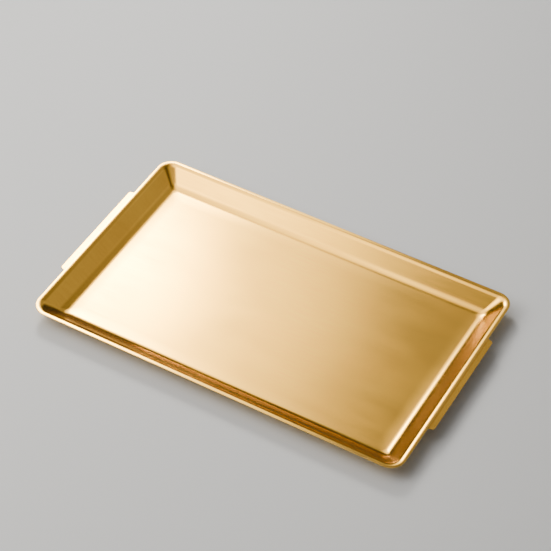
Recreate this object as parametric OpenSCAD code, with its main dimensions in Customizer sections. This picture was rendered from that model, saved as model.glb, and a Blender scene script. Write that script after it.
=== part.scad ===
// Rectangular serving tray in satin brass sheet.
// The pan is one pressed sheet: a flat floor, four walls that flare outwards and a rim
// that rolls over to a narrow flat edge. A strip fixed under the rim at each short end
// reaches past it as a thumb ledge, and the strip's inner half is folded down along the
// outside of the wall.
// Units are millimetres. The origin is on the surface that the tray stands on, under
// the middle of the floor. X runs along the tray, Y across it and Z up.

/* [Pan] */
// Length of the rim, edge to edge
rim_l = 400; // [300:1:500]
// Width of the rim, edge to edge
rim_w = 250; // [190:1:350]
// Depth from the top of the rim to the top of the floor
depth = 15; // [12:0.5:25]
// Thickness of the pressed sheet
sheet_t = 1; // [0.6:0.1:1.4]
// Width of the flat edge round the rim, up to the start of the bend
flange_w = 1.5; // [0.8:0.1:6]
// Slope of the walls, in degrees from the floor
wall_slope = 41; // [30:1:50]

/* [Radii] */
// Corner of the rim's edge, seen from above
rim_corner_r = 16; // [12:0.5:30]
// Corner of the flat floor, seen from above
floor_corner_r = 5; // [3:0.5:8]
// Upper surface of the bend between the rim and the wall
rim_bend_r = 9; // [4:0.5:12]
// Upper surface of the fillet between the wall and the floor
floor_fillet_r = 16; // [8:0.5:20]
// Slower curve that eases the foot of the fillet into the flat floor
floor_ease_r = 250; // [100:10:300]
// How far round that slower curve goes, in degrees
ease_angle = 2.5; // [1:0.5:4]

/* [Handles] */
// Length of the ledge, halfway out
ledge_l = 126; // [90:1:150]
// How far the ledge reaches past the rim's edge
ledge_reach = 5.4; // [5:0.1:15]
// Rounding of the ledge's outer corners
ledge_corner_r = 3; // [1:0.1:3]
// Rounding where the ledge runs into the rim's edge
ledge_root_r = 2; // [0.5:0.1:2]
// Thickness of the strip
strip_t = 1; // [0.6:0.1:1.4]
// How far the strip runs down the straight part of the wall
leg_l = 6; // [3:0.5:8]

/* [Hidden] */

BRASS = [0.83, 0.66, 0.37];
// Facets on each corner, bend, fillet and eased foot, and on each curve of the ledge
CORNER_STEPS = 12;
BEND_STEPS = 8;
FILLET_STEPS = 10;
EASE_STEPS = 4;
LEDGE_STEPS = 10;

rim_z = depth + sheet_t;
// Heights taken up by the bend, the fillet and its eased foot
bend_rise = rim_bend_r * (1 - cos(wall_slope));
fillet_rise = floor_fillet_r * (cos(ease_angle) - cos(wall_slope));
ease_rise = floor_ease_r * (1 - cos(ease_angle));
// Length of the straight part of the wall, down its slope
wall_l = (depth - bend_rise - fillet_rise - ease_rise) / sin(wall_slope);
// Distances in from the rim's edge: to the end of the bend, the end of the straight
// wall, the start of the eased foot and the start of the flat floor
bend_in = flange_w + rim_bend_r * sin(wall_slope);
wall_in = bend_in + wall_l * cos(wall_slope);
ease_in = wall_in + floor_fillet_r * (sin(wall_slope) - sin(ease_angle));
floor_in = ease_in + floor_ease_r * sin(ease_angle);

// One stretch of an arc in the (inward, up) plane, from angle a0 to a1, where 0 is
// straight up and 90 is straight inwards
function arc(centre, r, a0, a1, steps) =
    [for (i = [0:steps]) let (a = a0 + (a1 - a0) * i / steps) centre + r * [sin(a), cos(a)]];

// The bend, on the surface that lies t below the upper one
function bend_line(t) =
    arc([flange_w, rim_z - rim_bend_r], rim_bend_r - t, 0, wall_slope, BEND_STEPS);

// The fillet and its eased foot, which share a tangent where they meet
function fillet_line(t) =
    let (ease_centre = [floor_in, sheet_t + floor_ease_r],
         toward = (floor_ease_r - floor_fillet_r) * [sin(ease_angle), cos(ease_angle)],
         foot = 180 + ease_angle,
         fillet = arc(ease_centre - toward, floor_fillet_r + t, 180 + wall_slope, foot, FILLET_STEPS),
         ease = arc(ease_centre, floor_ease_r + t, foot, 180, EASE_STEPS))
    concat(fillet, [for (i = [1:EASE_STEPS]) ease[i]]);

// The section of the pan's upper surface (t = 0) or its underside (t = sheet_t), from
// the rim's edge to the flat floor
function pan_line(t) = concat([[0, rim_z - t]], bend_line(t), fillet_line(t));

function reverse(list) = [for (i = [len(list) - 1:-1:0]) list[i]];

// How fast the corners tighten on the way in: the rim keeps its width round the corner,
// and the radius settles smoothly at the floor's
corner_power = max(1, floor_in / (rim_corner_r - floor_corner_r));

// Corner radius at a distance in from the rim's edge
function corner_r(inset) =
    let (left = max(0, 1 - inset / floor_in))
    floor_corner_r + (rim_corner_r - floor_corner_r) * pow(left, corner_power);

// A rounded rectangle, a distance in from the rim's edge, at height z
function ring(inset, z) =
    let (r = corner_r(inset), x = rim_l / 2 - inset - r, y = rim_w / 2 - inset - r)
    [for (quarter = [0:3]) for (i = [0:CORNER_STEPS])
        let (a = 90 * (quarter + i / CORNER_STEPS),
             sx = (quarter == 0 || quarter == 3) ? 1 : -1,
             sy = quarter < 2 ? 1 : -1)
        [sx * x + r * cos(a), sy * y + r * sin(a), z]];

// A closed solid through rings that all have the same number of points
module loft(rings) {
    count = len(rings[0]);
    last = len(rings) - 1;
    bands = [for (k = [0:last - 1]) for (i = [0:count - 1])
        let (j = (i + 1) % count)
        [k * count + i, k * count + j, (k + 1) * count + j, (k + 1) * count + i]];
    first_cap = [for (i = [count - 1:-1:0]) i];
    last_cap = [for (i = [0:count - 1]) last * count + i];
    polyhedron([for (r = rings) each r], concat([first_cap], bands, [last_cap]));
}

module pan() {
    section = concat(reverse(pan_line(0)), pan_line(sheet_t));
    color(BRASS) loft([for (p = section) ring(p[0], p[1])]);
}

// The strip's section. Its top lies against the pan's underside, and both are given
// from the ledge's outer edge to the foot of the leg.
function strip_line(t) =
    let (down_wall = leg_l * [cos(wall_slope), -sin(wall_slope)], bend = bend_line(sheet_t + t))
    concat([[-ledge_reach, rim_z - sheet_t - t]], bend, [bend[BEND_STEPS] + down_wall]);

// The strip's outline from above, as (inward, across), down one half of its length.
// The ledge's corner and root are quarter circles, and under the rim its ends are square.
function half_outline() =
    let (swing = ledge_corner_r + ledge_root_r,
         root_y = ledge_l / 2 + swing / 2,
         corner = [ledge_corner_r - ledge_reach, root_y - swing],
         root = [-ledge_root_r, root_y])
    concat(
        [for (i = [0:LEDGE_STEPS]) let (a = 90 * i / LEDGE_STEPS)
            corner + ledge_corner_r * [-cos(a), sin(a)]],
        [for (i = [0:LEDGE_STEPS]) let (a = 90 * i / LEDGE_STEPS)
            root + ledge_root_r * [sin(a), -cos(a)]],
        [[floor_in, root_y]]);

module strip_outline() {
    half = half_outline();
    polygon(concat(half, [for (p = reverse(half)) [p[0], -p[1]]]));
}

// The strip at the +X end
module strip() {
    section = concat(strip_line(0), reverse(strip_line(strip_t)));
    translate([rim_l / 2, 0, 0])
    mirror([1, 0, 0])
    intersection() {
        linear_extrude(rim_z) strip_outline();
        rotate([90, 0, 0]) linear_extrude(rim_w, center = true) polygon(section);
    }
}

module handle_right() {
    color(BRASS) strip();
}

module handle_left() {
    color(BRASS) mirror([1, 0, 0]) strip();
}

pan();
handle_left();
handle_right();
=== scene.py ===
"""A rectangular serving tray in satin brass on a plain pale floor.

The pan and its two handle strips are rebuilt here as fine smooth meshes on the CAD
model's own section, with eased sheet edges, and get a brushed brass material.
"""

import math

import bpy
import numpy as np
from mathutils import Matrix, Vector


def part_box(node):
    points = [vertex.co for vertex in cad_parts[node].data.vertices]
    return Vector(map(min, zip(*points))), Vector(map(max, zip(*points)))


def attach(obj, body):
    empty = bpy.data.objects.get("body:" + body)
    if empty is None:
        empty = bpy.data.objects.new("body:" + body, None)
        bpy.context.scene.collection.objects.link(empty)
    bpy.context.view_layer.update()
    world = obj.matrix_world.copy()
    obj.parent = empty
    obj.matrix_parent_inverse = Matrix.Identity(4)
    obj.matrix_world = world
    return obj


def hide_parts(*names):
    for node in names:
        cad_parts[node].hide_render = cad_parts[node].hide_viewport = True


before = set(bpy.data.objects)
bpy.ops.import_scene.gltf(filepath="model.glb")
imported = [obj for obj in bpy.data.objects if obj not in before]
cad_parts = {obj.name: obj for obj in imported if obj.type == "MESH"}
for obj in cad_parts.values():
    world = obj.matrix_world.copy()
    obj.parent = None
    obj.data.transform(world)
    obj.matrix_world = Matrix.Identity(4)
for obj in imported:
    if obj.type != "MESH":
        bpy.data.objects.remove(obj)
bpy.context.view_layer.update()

MM = 0.001
QUARTER = math.pi / 2

# ---------------------------------------------------------------- sizes
# Overall sizes come from the frame. The section's own sizes repeat the CAD model's.
PAN_LOW, PAN_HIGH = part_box("pan")
RIM_L = PAN_HIGH.x - PAN_LOW.x
RIM_W = PAN_HIGH.y - PAN_LOW.y
RIM_Z = PAN_HIGH.z - PAN_LOW.z
LEDGE_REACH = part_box("handle_right")[1].x - PAN_HIGH.x
ROOT_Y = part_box("handle_right")[1].y

SHEET_T = 1 * MM
STRIP_T = 1 * MM
FLANGE_W = 1.5 * MM
WALL_SLOPE = math.radians(41)
RIM_CORNER_R = 16 * MM
FLOOR_CORNER_R = 5 * MM
RIM_BEND_R = 9 * MM
FLOOR_FILLET_R = 16 * MM
FLOOR_EASE_R = 250 * MM
EASE_ANGLE = math.radians(2.5)
LEDGE_CORNER_R = 3 * MM
LEDGE_ROOT_R = 2 * MM
LEG_L = 6 * MM
# How far the cut edges of the sheet are eased
EDGE_R = 0.3 * MM
# Rounding of the two corners at the foot of each strip's leg
FOOT_R = 1 * MM
# How far in from the rim's edge the sheet is polished by handling
WORN_W = 4 * MM
# Gap left between the strip and the pan, so that their faces don't coincide
LAP_GAP = 0.01 * MM
# Steps round the pan's curves, above and below. The eased foot has half the fillet's.
CORNER_STEPS = 24
BEND_STEPS, BEND_STEPS_BELOW = 16, 12
FILLET_STEPS, FILLET_STEPS_BELOW = 24, 16
EDGE_STEPS = 4
# Steps round the strip's curves
LEDGE_STEPS = 8
FOLD_STEPS = 12
FOOT_STEPS = 4
STRIP_EDGE_STEPS = 3

DEPTH = RIM_Z - SHEET_T
BEND_RISE = RIM_BEND_R * (1 - math.cos(WALL_SLOPE))
FILLET_RISE = FLOOR_FILLET_R * (math.cos(EASE_ANGLE) - math.cos(WALL_SLOPE))
EASE_RISE = FLOOR_EASE_R * (1 - math.cos(EASE_ANGLE))
WALL_L = (DEPTH - BEND_RISE - FILLET_RISE - EASE_RISE) / math.sin(WALL_SLOPE)
BEND_IN = FLANGE_W + RIM_BEND_R * math.sin(WALL_SLOPE)
WALL_IN = BEND_IN + WALL_L * math.cos(WALL_SLOPE)
FILLET_IN = WALL_IN + FLOOR_FILLET_R * (math.sin(WALL_SLOPE) - math.sin(EASE_ANGLE))
FLOOR_IN = FILLET_IN + FLOOR_EASE_R * math.sin(EASE_ANGLE)
CORNER_POWER = max(1, FLOOR_IN / (RIM_CORNER_R - FLOOR_CORNER_R))


# ---------------------------------------------------------------- pan
def arc(centre, r, start, end, steps):
    """Points (inward, up) along an arc, where angle 0 is straight up from the centre."""
    angles = np.linspace(start, end, steps + 1)
    return [(centre[0] + r * math.sin(a), centre[1] + r * math.cos(a)) for a in angles]


def bend_line(below, steps):
    return arc((FLANGE_W, RIM_Z - RIM_BEND_R), RIM_BEND_R - below, 0, WALL_SLOPE, steps)


def fillet_line(below, steps):
    """The fillet, and the slower curve that eases its foot into the flat floor."""
    more = FLOOR_EASE_R - FLOOR_FILLET_R
    ease_centre = (FLOOR_IN, SHEET_T + FLOOR_EASE_R)
    centre = (
        ease_centre[0] - more * math.sin(EASE_ANGLE),
        ease_centre[1] - more * math.cos(EASE_ANGLE),
    )
    foot = math.pi + EASE_ANGLE
    fillet = arc(centre, FLOOR_FILLET_R + below, math.pi + WALL_SLOPE, foot, steps)
    ease = arc(ease_centre, FLOOR_EASE_R + below, foot, math.pi, steps // 2)
    return fillet + ease[1:]


def pan_section():
    """The section from the flat floor's upper side, out to the rim's edge and back below."""
    upper = bend_line(0, BEND_STEPS) + fillet_line(0, FILLET_STEPS)
    under = bend_line(SHEET_T, BEND_STEPS_BELOW) + fillet_line(SHEET_T, FILLET_STEPS_BELOW)
    edge_top = arc((EDGE_R, RIM_Z - EDGE_R), EDGE_R, 0, -QUARTER, EDGE_STEPS)
    edge_low = arc((EDGE_R, RIM_Z - SHEET_T + EDGE_R), EDGE_R, -QUARTER, -math.pi, EDGE_STEPS)
    return upper[::-1] + edge_top + edge_low + under


def corner_r(inset):
    """Corner radius at a distance in from the rim's edge, and how fast it changes."""
    left = max(0.0, 1 - inset / FLOOR_IN)
    spread = RIM_CORNER_R - FLOOR_CORNER_R
    r = FLOOR_CORNER_R + spread * left**CORNER_POWER
    slope = -spread * CORNER_POWER / FLOOR_IN * left ** (CORNER_POWER - 1)
    return r, slope


def ring(inset, z, along):
    """A rounded rectangle and its surface normals. along is the section's direction there."""
    r, slope = corner_r(inset)
    x, y = RIM_L / 2 - inset - r, RIM_W / 2 - inset - r
    points, normals = [], []
    for quarter in range(4):
        sx = 1 if quarter in (0, 3) else -1
        sy = 1 if quarter < 2 else -1
        for i in range(CORNER_STEPS + 1):
            a = math.radians(90 * (quarter + i / CORNER_STEPS))
            c, s = math.cos(a), math.sin(a)
            points.append((sx * x + r * c, sy * y + r * s, z))
            across = Vector((
                (-sx * (1 + slope) + slope * c) * along[0],
                (-sy * (1 + slope) + slope * s) * along[0],
                along[1],
            ))
            normals.append(across.cross(Vector((-s, c, 0))).normalized())
    return points, normals


def bands(count, last):
    """Faces between loops of count points each, from loop 0 to loop last."""
    faces = []
    for k in range(last):
        for i in range(count):
            j = (i + 1) % count
            faces.append((k * count + j, k * count + i, (k + 1) * count + i, (k + 1) * count + j))
    return faces


def smooth_mesh(name, points, faces, normals, wear):
    """A smooth object. wear says, for each point, how much handling has polished it."""
    mesh = bpy.data.meshes.new(name)
    mesh.from_pydata(points, [], faces)
    mesh.attributes.new("wear", "FLOAT", "POINT").data.foreach_set("value", wear)
    mesh.polygons.foreach_set("use_smooth", [True] * len(faces))
    mesh.normals_split_custom_set_from_vertices(normals)
    piece = bpy.data.objects.new(name, mesh)
    bpy.context.scene.collection.objects.link(piece)
    return piece


def section_directions(section):
    """The direction of travel at each point of a smooth section, as unit vectors."""
    line = np.array(section)
    ahead = np.gradient(line, axis=0)
    ahead[0], ahead[-1] = (-1, 0), (1, 0)
    return ahead / np.linalg.norm(ahead, axis=1)[:, None]


def make_pan():
    section = pan_section()
    points, normals, wear = [], [], []
    for (inset, z), along in zip(section, section_directions(section)):
        ring_points, ring_normals = ring(inset, z, along)
        points += ring_points
        normals += ring_normals
        wear += [max(0.0, 1 - inset / WORN_W)] * len(ring_points)
    count = len(ring_points)
    last = len(section) - 1
    faces = bands(count, last)
    faces.append(tuple(range(count)))
    faces.append(tuple(last * count + i for i in range(count - 1, -1, -1)))
    return smooth_mesh("tray_pan", points, faces, normals, wear)


pan = make_pan()
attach(pan, "root")
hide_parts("pan")


# ---------------------------------------------------------------- handle strips
def strip_rows():
    """Half of the strip's outline, flattened out: (inward, across, normal inward, normal
    across) from the ledge's outer edge, round its corner and root, to the foot of the leg."""
    swing = LEDGE_CORNER_R + LEDGE_ROOT_R
    corner = (LEDGE_CORNER_R - LEDGE_REACH, ROOT_Y - swing)
    rows = [(-LEDGE_REACH, corner[1], -1, 0)]
    for a in np.linspace(0, QUARTER, LEDGE_STEPS + 1)[1:]:
        c, s = math.cos(a), math.sin(a)
        rows.append((corner[0] - LEDGE_CORNER_R * c, corner[1] + LEDGE_CORNER_R * s, -c, s))
    for a in np.linspace(0, QUARTER, LEDGE_STEPS + 1)[:-1]:
        c, s = math.cos(a), math.sin(a)
        rows.append((LEDGE_ROOT_R * (s - 1), ROOT_Y - LEDGE_ROOT_R * c, -s, c))
    fold_end = FLANGE_W + (RIM_BEND_R - SHEET_T) * WALL_SLOPE
    foot = fold_end + LEG_L
    lap = [FLANGE_W / 2, *np.linspace(FLANGE_W, fold_end, FOLD_STEPS + 1), foot - FOOT_R]
    rows += [(u, ROOT_Y, 0, 1) for u in lap]
    for a in np.linspace(0, QUARTER, FOOT_STEPS + 1)[1:]:
        c, s = math.cos(a), math.sin(a)
        rows.append((foot - FOOT_R * (1 - s), ROOT_Y - FOOT_R * (1 - c), s, c))
    return rows


def folded(u, below):
    """Where a point of the flattened strip ends up, as (inward, up), and which way up is."""
    r = RIM_BEND_R - SHEET_T - LAP_GAP
    a = min(max((u - FLANGE_W) / (RIM_BEND_R - SHEET_T), 0), WALL_SLOPE)
    up = (math.sin(a), math.cos(a))
    past = u - FLANGE_W - a * (RIM_BEND_R - SHEET_T)
    inward = FLANGE_W + (r - below) * up[0] + past * math.cos(a)
    height = RIM_Z - RIM_BEND_R + (r - below) * up[1] - past * math.sin(a)
    return inward, height, up


def strip_loops():
    """The loops that wrap the sheet's edge: (set in from the outline, depth, tilt)."""
    turns = np.linspace(QUARTER, 0, STRIP_EDGE_STEPS + 1)
    loops = [(EDGE_R * (1 - math.cos(t)), EDGE_R * (1 - math.sin(t)), t) for t in turns]
    return loops + [(inset, STRIP_T - depth, -tilt) for inset, depth, tilt in reversed(loops)]


def make_strip(name, node, side):
    rows = strip_rows()
    outline = rows + [(u, -y, nu, -ny) for u, y, nu, ny in reversed(rows)]
    points, normals, wear = [], [], []

    def add(u, y, below, tilt, nu, ny):
        inward, height, up = folded(u, below)
        flat, rise = math.cos(tilt), math.sin(tilt)
        normal_in = flat * nu * up[1] + rise * up[0]
        normal_up = -flat * nu * up[0] + rise * up[1]
        points.append((side * (RIM_L / 2 - inward), y, height))
        normals.append(Vector((-side * normal_in, flat * ny, normal_up)).normalized())
        wear.append(1.0 if u < 0 and abs(tilt) < QUARTER else 0.0)

    loops = strip_loops()
    count, last = len(outline), len(loops) - 1
    for inset, depth, tilt in loops:
        for u, y, nu, ny in outline:
            add(u - inset * nu, y - inset * ny, depth, tilt, nu, ny)
    faces = bands(count, last)
    for row in range(len(rows) - 1):
        a, b, c, d = row, row + 1, count - 2 - row, count - 1 - row
        faces.append((a, b, c, d))
        faces.append(tuple(last * count + i for i in (a, d, c, b)))
    if side < 0:
        faces = [face[::-1] for face in faces]
    strip = smooth_mesh(name, points, faces, normals, wear)
    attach(strip, "root")
    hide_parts(node)
    return strip


strip_right = make_strip("tray_handle_right", "handle_right", 1)
strip_left = make_strip("tray_handle_left", "handle_left", -1)


# ---------------------------------------------------------------- brass
# Most of the brass, its deeper patches, its brush lines and where it is handled
BRASS_TONE = (0.96, 0.55, 0.045, 1)
BRASS_DEEP = (0.92, 0.51, 0.038, 1)
BRASS_LINES = (0.86, 0.46, 0.034, 1)
BRASS_BRIGHT = (0.96, 0.62, 0.12, 1)
ROUGHNESS = 0.2
# Share of the surface that still has its clear lacquer
LACQUER = 1
# Brush lines to a metre, along X, Y and Z, and how deep they are
BRUSH_LINES = (30, 900, 120)
BRUSH_H = 0.012 * MM
BRUSH_STRENGTH = 0.5
# The sheet's slow waves to a metre, and how high they are
WAVES = (7, 9, 7)
WAVE_H = 0.2 * MM
# Patches of deeper tone and smears of rougher metal to a metre
CLOUDS = (14, 14, 14)
SMEARS = (9, 34, 34)
# How far the smears and the brush lines change the roughness, either way, and how much
# smoother handling makes it
SMEAR_ROUGHNESS = 0.025
LINE_ROUGHNESS = 0.02
WORN_ROUGHNESS = -0.05
# Greatest share of the brush lines' tone and of the handled tone, and the wear at which
# handling starts to show
LINE_SHARE = 0.35
WORN_SHARE = 0.6
WORN_START = 0.2


class Nodes:
    """Adds nodes to a material, and joins what is passed to them."""

    def __init__(self, material):
        material.use_nodes = True
        self.tree = material.node_tree
        self.shader = self.tree.nodes["Principled BSDF"]

    def put(self, socket, value):
        if isinstance(value, bpy.types.NodeSocket):
            self.tree.links.new(value, socket)
        else:
            socket.default_value = value

    def noise(self, per_metre, detail):
        """Soft noise from 0 to 1, with this many features a metre along X, Y and Z."""
        place = self.tree.nodes.new("ShaderNodeTexCoord")
        stretch = self.tree.nodes.new("ShaderNodeMapping")
        texture = self.tree.nodes.new("ShaderNodeTexNoise")
        self.put(stretch.inputs["Vector"], place.outputs["Object"])
        self.put(stretch.inputs["Scale"], per_metre)
        self.put(texture.inputs["Vector"], stretch.outputs["Vector"])
        self.put(texture.inputs["Scale"], 1)
        self.put(texture.inputs["Detail"], detail)
        return texture.outputs["Fac"]

    def spread(self, value, low, high, start=0.3, end=0.7):
        """Maps start..end of a value to low..high, smoothly."""
        node = self.tree.nodes.new("ShaderNodeMapRange")
        node.interpolation_type = "SMOOTHSTEP"
        settings = {"From Min": start, "From Max": end, "To Min": low, "To Max": high}
        self.put(node.inputs["Value"], value)
        for socket, setting in settings.items():
            self.put(node.inputs[socket], setting)
        return node.outputs["Result"]

    def sum(self, first, second):
        node = self.tree.nodes.new("ShaderNodeMath")
        self.put(node.inputs[0], first)
        self.put(node.inputs[1], second)
        return node.outputs["Value"]

    def blend(self, amount, first, second):
        node = self.tree.nodes.new("ShaderNodeMix")
        node.data_type = "RGBA"
        self.put(node.inputs[0], amount)
        self.put(node.inputs[6], first)
        self.put(node.inputs[7], second)
        return node.outputs[2]

    def bump(self, height, distance, strength, under=None):
        node = self.tree.nodes.new("ShaderNodeBump")
        self.put(node.inputs["Height"], height)
        self.put(node.inputs["Distance"], distance)
        self.put(node.inputs["Strength"], strength)
        if under:
            self.put(node.inputs["Normal"], under)
        return node.outputs["Normal"]


def satin_brass():
    """Brass sheet, finely brushed along X, a little uneven, and brighter where handled."""
    material = bpy.data.materials.new("satin_brass")
    add = Nodes(material)
    brushing = add.noise(BRUSH_LINES, 3)
    clouds = add.noise(CLOUDS, 3)
    smears = add.noise(SMEARS, 5)
    waves = add.noise(WAVES, 0)
    wear = add.tree.nodes.new("ShaderNodeAttribute")
    wear.attribute_name = "wear"
    worn = add.spread(wear.outputs["Fac"], 0, WORN_SHARE, WORN_START, 1)

    tone = add.blend(add.spread(clouds, 0, 1), BRASS_TONE, BRASS_DEEP)
    tone = add.blend(add.spread(brushing, 0, LINE_SHARE), tone, BRASS_LINES)
    tone = add.blend(worn, tone, BRASS_BRIGHT)
    add.put(add.shader.inputs["Base Color"], tone)
    add.put(add.shader.inputs["Metallic"], 1)

    smeared = add.spread(smears, ROUGHNESS - SMEAR_ROUGHNESS, ROUGHNESS + SMEAR_ROUGHNESS)
    rough = add.sum(smeared, add.spread(brushing, -LINE_ROUGHNESS, LINE_ROUGHNESS))
    handled = add.spread(wear.outputs["Fac"], 0, WORN_ROUGHNESS, WORN_START, 1)
    rough = add.sum(rough, handled)
    add.put(add.shader.inputs["Roughness"], rough)
    add.put(add.shader.inputs["Coat Weight"], LACQUER)
    add.put(add.shader.inputs["Coat Roughness"], ROUGHNESS)

    uneven = add.bump(waves, WAVE_H, 1)
    add.put(add.shader.inputs["Normal"], add.bump(brushing, BRUSH_H, BRUSH_STRENGTH, uneven))
    return material


BRASS = satin_brass()
for piece in (pan, strip_right, strip_left):
    piece.data.materials.append(BRASS)


# ---------------------------------------------------------------- stage, light and camera
# Half the floor's width, and how far below the tray's underside it lies
FLOOR_HALF = 6.0
FLOOR_DROP = 0.1 * MM
FLOOR_TONE = (0.60, 0.665, 0.84, 1)
FLOOR_ROUGHNESS = 0.7
AMBIENT = (0.045, 0.042, 0.036, 1)
# How far the lights stand from the tray, and their one colour
LIGHT_DISTANCE = 1.5
LIGHT_COLOUR = (1, 0.89, 0.68)
# The camera's place: degrees round to the right of the front, and degrees up. Its turn
# about its own line of sight is in degrees too.
CAMERA_AZIMUTH = 28.92
CAMERA_ELEVATION = 45.83
CAMERA_ROLL = 1.084
# Its distance from the rim's plane and where it aims, right and up, in half rim lengths
CAMERA_DISTANCE = 9.6635
CAMERA_AIM = (0.00971, 0.13465)
LENS = 130.31
SENSOR = 36


def make_floor():
    material = bpy.data.materials.new("pale_floor")
    material.use_nodes = True
    shader = material.node_tree.nodes["Principled BSDF"]
    shader.inputs["Base Color"].default_value = FLOOR_TONE
    shader.inputs["Roughness"].default_value = FLOOR_ROUGHNESS
    mesh = bpy.data.meshes.new("floor")
    s = FLOOR_HALF
    mesh.from_pydata([(-s, -s, 0), (s, -s, 0), (s, s, 0), (-s, s, 0)], [], [(0, 1, 2, 3)])
    floor = bpy.data.objects.new("floor", mesh)
    floor.location.z = -FLOOR_DROP
    bpy.context.scene.collection.objects.link(floor)
    mesh.materials.append(material)


def soft_light(name, azimuth, elevation, wide, high, radiance, core=0.0):
    """A soft box that faces the tray. It is even over its core, a share of its radius, and
    fades to its edge. Azimuth 0 is in front (-Y) and 90 is at +X. wide and high are full
    angles in degrees."""
    a, e = math.radians(azimuth), math.radians(elevation)
    away = Vector((math.sin(a) * math.cos(e), -math.cos(a) * math.cos(e), math.sin(e)))
    light = bpy.data.lights.new(name, "AREA")
    light.shape = "ELLIPSE"
    light.size = 2 * LIGHT_DISTANCE * math.tan(math.radians(wide / 2))
    light.size_y = 2 * LIGHT_DISTANCE * math.tan(math.radians(high / 2))
    light.energy = radiance * light.size * light.size_y * math.pi**2 / 4
    light.color = LIGHT_COLOUR
    light.use_nodes = True
    nodes, links = light.node_tree.nodes, light.node_tree.links
    place = nodes.new("ShaderNodeTexCoord")
    centred = nodes.new("ShaderNodeVectorMath")
    centred.operation = "SUBTRACT"
    centred.inputs[1].default_value = (0.5, 0.5, 0)
    radius = nodes.new("ShaderNodeVectorMath")
    radius.operation = "LENGTH"
    fade = nodes.new("ShaderNodeMapRange")
    fade.interpolation_type = "SMOOTHSTEP"
    fade.inputs["From Min"].default_value = 0.5
    fade.inputs["From Max"].default_value = core / 2
    links.new(place.outputs["UV"], centred.inputs[0])
    links.new(centred.outputs["Vector"], radius.inputs[0])
    links.new(radius.outputs["Value"], fade.inputs["Value"])
    links.new(fade.outputs["Result"], nodes["Emission"].inputs["Strength"])
    lamp = bpy.data.objects.new(name, light)
    lamp.location = away * LIGHT_DISTANCE
    lamp.rotation_mode = "QUATERNION"
    lamp.rotation_quaternion = away.to_track_quat("Z", "Y")
    bpy.context.scene.collection.objects.link(lamp)
    return lamp


def make_world():
    world = bpy.data.worlds.new("studio")
    world.use_nodes = True
    background = world.node_tree.nodes["Background"]
    background.inputs["Color"].default_value = AMBIENT
    background.inputs["Strength"].default_value = 1.0
    bpy.context.scene.world = world


def make_camera():
    azimuth = math.radians(CAMERA_AZIMUTH)
    elevation = math.radians(CAMERA_ELEVATION)
    roll = math.radians(CAMERA_ROLL)
    back = Vector((
        math.sin(azimuth) * math.cos(elevation),
        -math.cos(azimuth) * math.cos(elevation),
        math.sin(elevation),
    ))
    right = Vector((0, 0, 1)).cross(back).normalized()
    up = back.cross(right)
    turned_right = right * math.cos(roll) + up * math.sin(roll)
    turned_up = up * math.cos(roll) - right * math.sin(roll)
    half = RIM_L / 2
    aim = turned_right * CAMERA_AIM[0] + turned_up * CAMERA_AIM[1]
    place = (aim + back * CAMERA_DISTANCE) * half + Vector((0, 0, RIM_Z))
    data = bpy.data.cameras.new("camera")
    data.sensor_width = SENSOR
    data.lens = LENS
    camera = bpy.data.objects.new("camera", data)
    turn = Matrix((turned_right, turned_up, back)).transposed()
    camera.matrix_world = Matrix.Translation(place) @ turn.to_4x4()
    bpy.context.scene.collection.objects.link(camera)
    bpy.context.scene.camera = camera


make_floor()
make_world()
make_camera()
soft_light("key", azimuth=-135, elevation=40.5, wide=19, high=21, radiance=56)
soft_light("key_halo", azimuth=-142, elevation=41.5, wide=32, high=40, radiance=3, core=0.5)
soft_light("back", azimuth=-53, elevation=42, wide=60, high=44, radiance=7, core=0.2)
soft_light("high", azimuth=-82, elevation=64, wide=66, high=48, radiance=3.4, core=0.4)
soft_light("side", azimuth=131, elevation=34, wide=76, high=44, radiance=0.46, core=0.1)
soft_light("rear", azimuth=174, elevation=44, wide=64, high=50, radiance=0.36, core=0.3)
soft_light("front", azimuth=45, elevation=20, wide=84, high=34, radiance=0.9)
soft_light("top", azimuth=10, elevation=78, wide=80, high=60, radiance=0.8)
